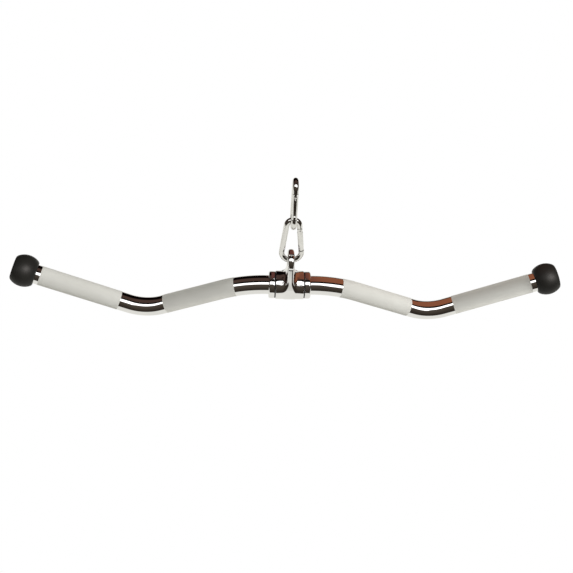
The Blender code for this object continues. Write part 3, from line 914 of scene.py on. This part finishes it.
def block(low, high):
    """A box between two corners."""
    bm = bmesh.new()
    bmesh.ops.create_cube(bm, size=1)
    bmesh.ops.scale(bm, vec=Vector(high) - Vector(low), verts=bm.verts)
    bmesh.ops.translate(bm, vec=(Vector(high) + Vector(low)) / 2, verts=bm.verts)
    return mesh_of(bm, "block")


def arc(centre, radius, start, end, step=radians(3)):
    """Points along an arc, both ends included."""
    count = max(2, round(abs(end - start) / step))
    angles = [start + (end - start) * i / count for i in range(count + 1)]
    return [(centre[0] + radius * cos(a), centre[1] + radius * sin(a)) for a in angles]


# %% Hook shapes


class SnapHook:
    """One of the two hooks, with its gate, pins and spring."""

    def __init__(self, name):
        self.name = name
        self.frame = HOOK_FRAMES[name]
        self.narrow = NARROW_BOW_WIDTH / 2 - WIRE_RADIUS
        self.wide = HOOK_WIDTH / 2 - WIRE_RADIUS
        self.narrow_z = HOOK_SEAT - self.narrow
        self.wide_z = HOOK_SEAT - (HOOK_LENGTH - 2 * WIRE_RADIUS) + self.wide
        self.taper = asin((self.wide - self.narrow) / (self.narrow_z - self.wide_z))
        outward = Vector((cos(self.taper), 0, sin(self.taper)))
        leg_top = Vector((0, 0, self.narrow_z)) + outward * self.narrow
        leg_end = Vector((0, 0, self.wide_z)) + outward * self.wide
        self.down = (leg_end - leg_top).normalized()
        self.hinge = leg_top + self.down * HINGE_FROM_BOW
        self.span = (leg_end - self.down * LATCH_FROM_BOW - self.hinge).length
        lean = Matrix.Rotation(-atan2(self.down.x, -self.down.z), 4, "Y")
        self.gate_frame = self.frame @ Matrix.Translation(self.hinge) @ lean

    def along(self, distance, inward=0.0):
        """A place along the gate's axis from its hinge, and off it towards the inside of the hook."""
        across = Vector((self.down.z, 0, -self.down.x))
        place = self.hinge + self.down * distance + across * inward
        return place.x, place.z

    def wire(self):
        """The bent wire. Where it meets the gate its end is a flat shoulder."""
        narrow = arc((0, self.narrow_z), self.narrow, self.taper, pi - self.taper)
        wide = arc((0, self.wide_z), self.wide, pi - self.taper, 2 * pi + self.taper)
        flat = [self.along(-FORK_DEPTH), *narrow, *wide, self.along(self.span + FORK_DEPTH)]
        return swept([Vector((x, 0, z)) for x, z in flat], WIRE_RADIUS, 48)

    def tang(self):
        """The flat end that the gate's fork straddles, with a flat for the plunger."""
        reach = WIRE_RADIUS - FLAT_INSET
        corner = acos(TANG_FLAT)
        angles = [corner + (pi / 2 - corner) * i / 10 for i in range(11)]
        tip = [(reach * cos(a), reach * sin(a)) for a in angles]
        root = -FORK_DEPTH - FLAT_ROOT
        points = tip + [(root, reach), (root, -reach)]
        points += [(s, -u) for s, u in reversed(tip)]
        return plate([self.along(s, u) for s, u in points], TANG_THICKNESS)

    def nose(self):
        """The flat end with the notch that the gate's latch pin drops into."""
        reach = WIRE_RADIUS - FLAT_INSET
        notch = LATCH_PIN_RADIUS + NOTCH_GAP
        near, far = self.span - notch - NOSE_LIP, self.span + FORK_DEPTH + FLAT_ROOT
        angles = [pi * i / 14 for i in range(15)]
        points = [(near, reach - NOSE_LEAD), (near + NOSE_LEAD, reach), (self.span - notch, reach)]
        points += [(self.span - notch * cos(a), -notch * sin(a)) for a in angles]
        points += [(self.span + notch, reach), (far, reach), (far, -reach)]
        points += [(near + 2 * NOSE_LEAD, -reach), (near, -reach + 2 * NOSE_LEAD)]
        return plate([self.along(s, u) for s, u in points], NOSE_THICKNESS)

    def make_body(self):
        """Wire, tang and nose as one piece."""
        mesh = combine(self.wire(), ("UNION", self.tang()), ("UNION", self.nose()))
        mesh.transform(self.frame)
        body = self.name + "_hook"
        finish_piece(body + "_wire", mesh, "nickel", body, body + "_body", slot="bright_steel")

    def make_gate(self):
        """A rod, forked at the hinge and at the nose, and bored for its spring."""
        end = self.span + WIRE_RADIUS - GATE_END_CUT
        profile = [(end, 0), *rounded(end, WIRE_RADIUS, GATE_EDGE, 5)]
        profile += [(-WIRE_RADIUS, WIRE_RADIUS), (-WIRE_RADIUS, 0)]
        gate = turned(profile, 48)
        gate.transform(Matrix.Rotation(pi / 2, 4, "Y"))
        side = WIRE_RADIUS * 1.5
        knuckle = rod((0, -side, 0), (0, side, 0), WIRE_RADIUS - JUST_INSIDE, 52)
        keep = combine(knuckle, ("UNION", block((-side, -side, -end * 1.2), (side, side, 0))))
        wide = 2 * WIRE_RADIUS
        hinge_slot = TANG_THICKNESS / 2 + SEAT_GAP
        nose_slot = NOSE_THICKNESS / 2 + SEAT_GAP
        nose_floor = self.span - LATCH_PIN_RADIUS - NOSE_ROOM
        bore = rod((0, 0, -FORK_DEPTH / 2), (0, 0, -FORK_DEPTH * 4), GATE_BORE_RADIUS, 30)
        mesh = combine(
            gate,
            ("INTERSECT", keep),
            ("DIFFERENCE", block((-wide, -hinge_slot, -FORK_DEPTH), (wide, hinge_slot, wide))),
            ("DIFFERENCE", block((-wide, -nose_slot, -end * 1.2), (wide, nose_slot, -nose_floor))),
            ("DIFFERENCE", bore),
        )
        mesh.transform(self.gate_frame)
        body = self.name + "_gate"
        finish_piece(self.name + "_gate_rod", mesh, "nickel", body, body, slot="bright_steel")

    def make_pins(self):
        """The hinge rivet, with its low domed heads, and the latch pin."""
        rim = WIRE_RADIUS - PIN_EDGE
        angles = [pi / 2 * i / 5 for i in range(6)]
        dome = [(rim + RIVET_HEAD * cos(a), RIVET_RADIUS * sin(a)) for a in angles]
        rivet = turned([*dome, *((-x, r) for x, r in reversed(dome))], 32)
        across = Matrix.Rotation(pi / 2, 4, "Z")
        rivet.transform(self.gate_frame @ across)
        name, body = self.name + "_gate_rivet", self.name + "_hook"
        finish_piece(self.name + "_hinge_rivet", rivet, "nickel", body, name, slot="bright_steel")
        reach = WIRE_RADIUS - JUST_INSIDE
        half = rounded(reach, LATCH_PIN_RADIUS, PIN_EDGE, 3)
        pin = turned([(reach, 0), *half, *((-x, r) for x, r in reversed(half)), (-reach, 0)], 24)
        pin.transform(self.gate_frame @ Matrix.Translation((0, 0, -self.span)) @ across)
        name, body = self.name + "_latch_pin", self.name + "_gate"
        finish_piece(self.name + "_cross_pin", pin, "nickel", body, name, slot="bright_steel")

    def make_spring(self):
        """The coil in the gate's bore, drawn at rest. On the real hook it shortens as the opening gate
        pushes its plunger in.
        """
        steps = SPRING_TURNS * SPRING_STEPS
        points = []
        for i in range(steps + 1):
            turn = 2 * pi * SPRING_TURNS * i / steps
            depth = SPRING_START + SPRING_LENGTH * i / steps
            points.append(Vector((SPRING_RADIUS * cos(turn), SPRING_RADIUS * sin(turn), -depth)))
        mesh = swept(points, SPRING_WIRE_RADIUS, 12, "spring")
        mesh.transform(self.gate_frame)
        name, body = self.name + "_gate_spring", self.name + "_gate"
        coil = self.name + "_gate_coil"
        piece = finish_piece(coil, mesh, "spring", body, name, slot="spring_steel", sharp=60)
        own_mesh(piece)


for hook_name in HOOK_FRAMES:
    hook = SnapHook(hook_name)
    hook.make_body()
    hook.make_gate()
    hook.make_pins()
    hook.make_spring()
    print(hook_name, "hook: gate", round(hook.span * 1000, 1), "mm from rivet to latch pin")

# %% [markdown]
# ## Pieces that stay as they are
# The bushings and plungers sit inside other pieces, and the grub screws are seen only from behind. Their
# solids are right already, so each only gets its finish.

# %% Finishes for the CAD nodes that stay
KEPT_NODES = {
    "bushing_left": "bronze",
    "bushing_right": "bronze",
    "set_screw_left": "oxide",
    "set_screw_right": "oxide",
    "upper_gate_plunger": "nickel",
    "lower_gate_plunger": "nickel",
}
for node, finish in KEPT_NODES.items():
    mesh = frame["nodes"][node].data
    mesh.materials.clear()
    mesh.materials.append(finishes[finish])
print("kept as they are:", len(KEPT_NODES))

# %% [markdown]
# ## Studio
# Plated steel shows its surroundings. The photograph's tube mirrors, from its top edge down: a nearly black
# ceiling on the left and a copper one on the right, a thin dark gap, a long white softbox, the dark room
# behind the camera, and a pale floor. All but the floor run along the bar, so they are written by the angle
# round the bar's axis, and the floor by its true elevation. On the right the softbox and the floor sag a
# little. Matt surfaces see a soft light instead, strongest from above and behind on the left. The camera
# itself sees plain white.

# %% World, with angles in degrees: 0 is the horizon in front of the bar and 90 is straight up
ROOM_FROM, ROOM_TO = -34, 42
SOFTBOX_FROM, SOFTBOX_TO = 44.4, 66.6
GAP_FROM, GAP_TO = 52, 56
CEILING_FROM = 87.0
CEILING_FADES_FROM, CEILING_FADES_TO = 121, 135
BEHIND_FROM, BEHIND_TO = 148, 152
FLOOR_FROM, FLOOR_TO = -32.8, -28.4
SOFTBOX_SAG, FLOOR_SAG = 8.0, 4.2
SAG_FROM, SAG_TO = 0.14, 0.30
SOFTBOX_ENDS_FROM, SOFTBOX_ENDS_TO = 0.70, 0.85
FLOOR_FADES_FROM, FLOOR_FADES_TO = 0.55, 0.95
ROOM_LOW, ROOM_HIGH = (0.027, 0.021, 0.016), (0.078, 0.064, 0.050)
GAP_COLOUR = (0.010, 0.008, 0.007)
CEILING_COLOUR, CEILING_FADED = (0.072, 0.043, 0.034), (0.002, 0.001, 0.001)
SOFTBOX_COLOUR = (2.2, 2.2, 2.15)
FLOOR_COLOUR, FLOOR_ASIDE = (0.86, 0.85, 0.795), (0.40, 0.39, 0.37)
SOFT_LIGHT, SOFT_LIGHT_OVER_LEFT = (0.33, 0.33, 0.325), (0.80, 0.79, 0.76)
WHITE = (1.0, 1.0, 1.0)


def seen_plainly(tree):
    """1 for the camera's own rays, also behind a clear surface, and 0 for all others."""
    rays = tree.nodes.new("ShaderNodeLightPath").outputs
    return Socket(tree, rays["Is Camera Ray"]).math("MAXIMUM", Socket(tree, rays["Is Transmission Ray"]))


def mirrored_studio(x, y, z):
    """What the plate mirrors in a direction."""
    aside = x.math("ABSOLUTE")
    rightward = x.between(SAG_FROM, SAG_TO)
    angle = z.math("ARCTAN2", y * -1.0) * degrees(1)
    room = angle.between(ROOM_FROM, ROOM_TO).mix(ROOM_LOW, ROOM_HIGH)
    gap = angle.between(GAP_FROM, GAP_TO).mix(room, GAP_COLOUR)
    ceiling = angle.between(CEILING_FADES_FROM, CEILING_FADES_TO).mix(CEILING_COLOUR, CEILING_FADED)
    above = angle.between(CEILING_FROM - 2.5, CEILING_FROM + 2.5).mix(gap, ceiling)
    softbox = (angle + SOFTBOX_SAG * rightward).between(SOFTBOX_FROM - 2, SOFTBOX_FROM + 2)
    softbox *= 1.0 - angle.between(SOFTBOX_TO - 1, SOFTBOX_TO + 1)
    softbox *= 1.0 - aside.between(SOFTBOX_ENDS_FROM, SOFTBOX_ENDS_TO)
    with_softbox = softbox.mix(above, SOFTBOX_COLOUR)
    elevation = z.math("ARCSINE") * degrees(1)
    floor = 1.0 - (elevation + FLOOR_SAG * rightward).between(FLOOR_FROM, FLOOR_TO)
    behind = (angle * -1.0).between(BEHIND_FROM, BEHIND_TO)
    floor_colour = aside.between(FLOOR_FADES_FROM, FLOOR_FADES_TO).mix(FLOOR_COLOUR, FLOOR_ASIDE)
    in_front = (floor * (1.0 - behind)).mix(with_softbox, floor_colour)
    return behind.mix(in_front, ceiling)


def make_world():
    world = bpy.data.worlds.new("studio")
    world.use_nodes = True
    bpy.context.scene.world = world
    tree = world.node_tree
    tree.nodes.clear()
    direction = Socket(tree, tree.nodes.new("ShaderNodeTexCoord").outputs["Generated"])
    split = direction.node("ShaderNodeSeparateXYZ", None, {"Vector": direction}).link.node
    x, y, z = (Socket(tree, split.outputs[axis]) for axis in "XYZ")
    over_left = (y * 0.65 + z * 0.55 - x * 0.5).between(0.35, 0.95)
    soft_light = over_left.mix(SOFT_LIGHT, SOFT_LIGHT_OVER_LEFT)
    diffuse = Socket(tree, tree.nodes.new("ShaderNodeLightPath").outputs["Is Diffuse Ray"])
    lit = diffuse.mix(mirrored_studio(x, y, z), soft_light)
    colour = seen_plainly(tree).mix(lit, WHITE)
    background = direction.node("ShaderNodeBackground", None, {"Color": colour})
    output = tree.nodes.new("ShaderNodeOutputWorld")
    tree.links.new(background.link, output.inputs["Surface"])


make_world()

# %% [markdown]
# ## Floor, panel and lamps
# A pale floor lies well below the bar, because the bar hangs, and glows, so it needs no light of its own.
# Low over the bar hangs a copper panel that faces down. Being near, it shows in the right half of the tube
# and not in the left. It is seen only as a reflection. One soft lamp stands low on the right and shapes the
# knurl. The other lights only the rubber balls, through light linking, and gives them their dim sheen.

# %% Floor, panel and lamps
FLOOR_DROP, FLOOR_HALF, FLOOR_BACK = 0.75, 3.0, 2.2
PANEL_Z = BAR_Z + 0.1
PANEL_SHEETS = ((0.026, -0.0095), (0.45, 0.7)), ((-0.026, 0.01), (0.026, 0.7))
COPPER_AT_HANGER, COPPER_FURTHER_OUT = (0.13, 0.047, 0.038), (0.275, 0.095, 0.047)
BALL_LAMP_COLOUR = (1.0, 0.93, 0.89)


def copper_glow():
    """Copper that darkens towards the hanger, and clear from above."""
    material, _, place = start_material("copper_glow")
    tree = material.node_tree
    split = place.node("ShaderNodeSeparateXYZ", None, {"Vector": place}).link.node
    along = Socket(tree, split.outputs["X"])
    colour = along.between(0.0, 0.09).mix(COPPER_AT_HANGER, COPPER_FURTHER_OUT)
    glow = place.node("ShaderNodeEmission", None, {"Color": colour})
    clear = place.node("ShaderNodeBsdfTransparent")
    from_above = Socket(tree, tree.nodes.new("ShaderNodeNewGeometry").outputs["Backfacing"])
    shown = from_above.node("ShaderNodeMixShader", None, {0: from_above, 1: glow, 2: clear})
    tree.links.new(shown.link, tree.nodes["Material Output"].inputs["Surface"])
    return material


def make_copper_panel():
    """Two sheets that face down, with room left for the hooks, seen only in reflections."""
    corners, faces = [], []
    for (x0, y0), (x1, y1) in PANEL_SHEETS:
        faces.append(tuple(range(len(corners), len(corners) + 4)))
        corners += [(x0, y0, PANEL_Z), (x0, y1, PANEL_Z), (x1, y1, PANEL_Z), (x1, y0, PANEL_Z)]
    mesh = bpy.data.meshes.new("copper_panel")
    mesh.from_pydata(corners, [], faces)
    mesh.materials.append(copper_glow())
    panel = add_object("copper_panel", mesh)
    panel.visible_camera = False
    panel.visible_diffuse = False
    panel.visible_shadow = False


def make_floor():
    bm = bmesh.new()
    bmesh.ops.create_grid(bm, x_segments=1, y_segments=1, size=FLOOR_HALF)
    mesh = mesh_of(bm, "floor")
    mesh.transform(Matrix.Translation((0, FLOOR_BACK, BAR_Z - FLOOR_DROP)))
    material, _, place = start_material("pale_floor")
    tree = material.node_tree
    glow = place.node("ShaderNodeEmission", None, {"Color": seen_plainly(tree).mix(FLOOR_COLOUR, WHITE)})
    tree.links.new(glow.link, tree.nodes["Material Output"].inputs["Surface"])
    mesh.materials.append(material)
    add_object("floor", mesh)


def make_lamp(name, turn, height, distance, size, energy):
    """A soft lamp that faces the bar, from an angle round it and a height, both in degrees."""
    data = bpy.data.lights.new(name, "AREA")
    data.shape = "RECTANGLE"
    data.size, data.size_y = size
    data.energy = energy
    lamp = bpy.data.objects.new(name, data)
    bpy.context.scene.collection.objects.link(lamp)
    turn, height = radians(turn), radians(height)
    away = Vector((sin(turn) * cos(height), -cos(turn) * cos(height), sin(height)))
    lamp.location = Vector((0, 0, BAR_Z)) + away * distance
    lamp.rotation_euler = (-away).to_track_quat("-Z", "Y").to_euler()
    lamp.visible_camera = False
    return lamp


make_floor()
side_lamp = make_lamp("side_softbox", turn=67, height=17, distance=3.5, size=(1.2, 0.6), energy=132)
side_lamp.visible_glossy = False
ball_lamp = make_lamp("ball_lamp", turn=33, height=50, distance=3.0, size=(1.5, 1.3), energy=150)
ball_lamp.data.color = BALL_LAMP_COLOUR
balls = bpy.data.collections.new("lit_by_ball_lamp")
for side in ("left", "right"):
    balls.objects.link(bpy.data.objects["rubber_ball_" + side])
ball_lamp.light_linking.receiver_collection = balls
make_copper_panel()
bpy.context.scene.view_settings.view_transform = "Standard"
print("lamps:", side_lamp.name, "and", ball_lamp.name)
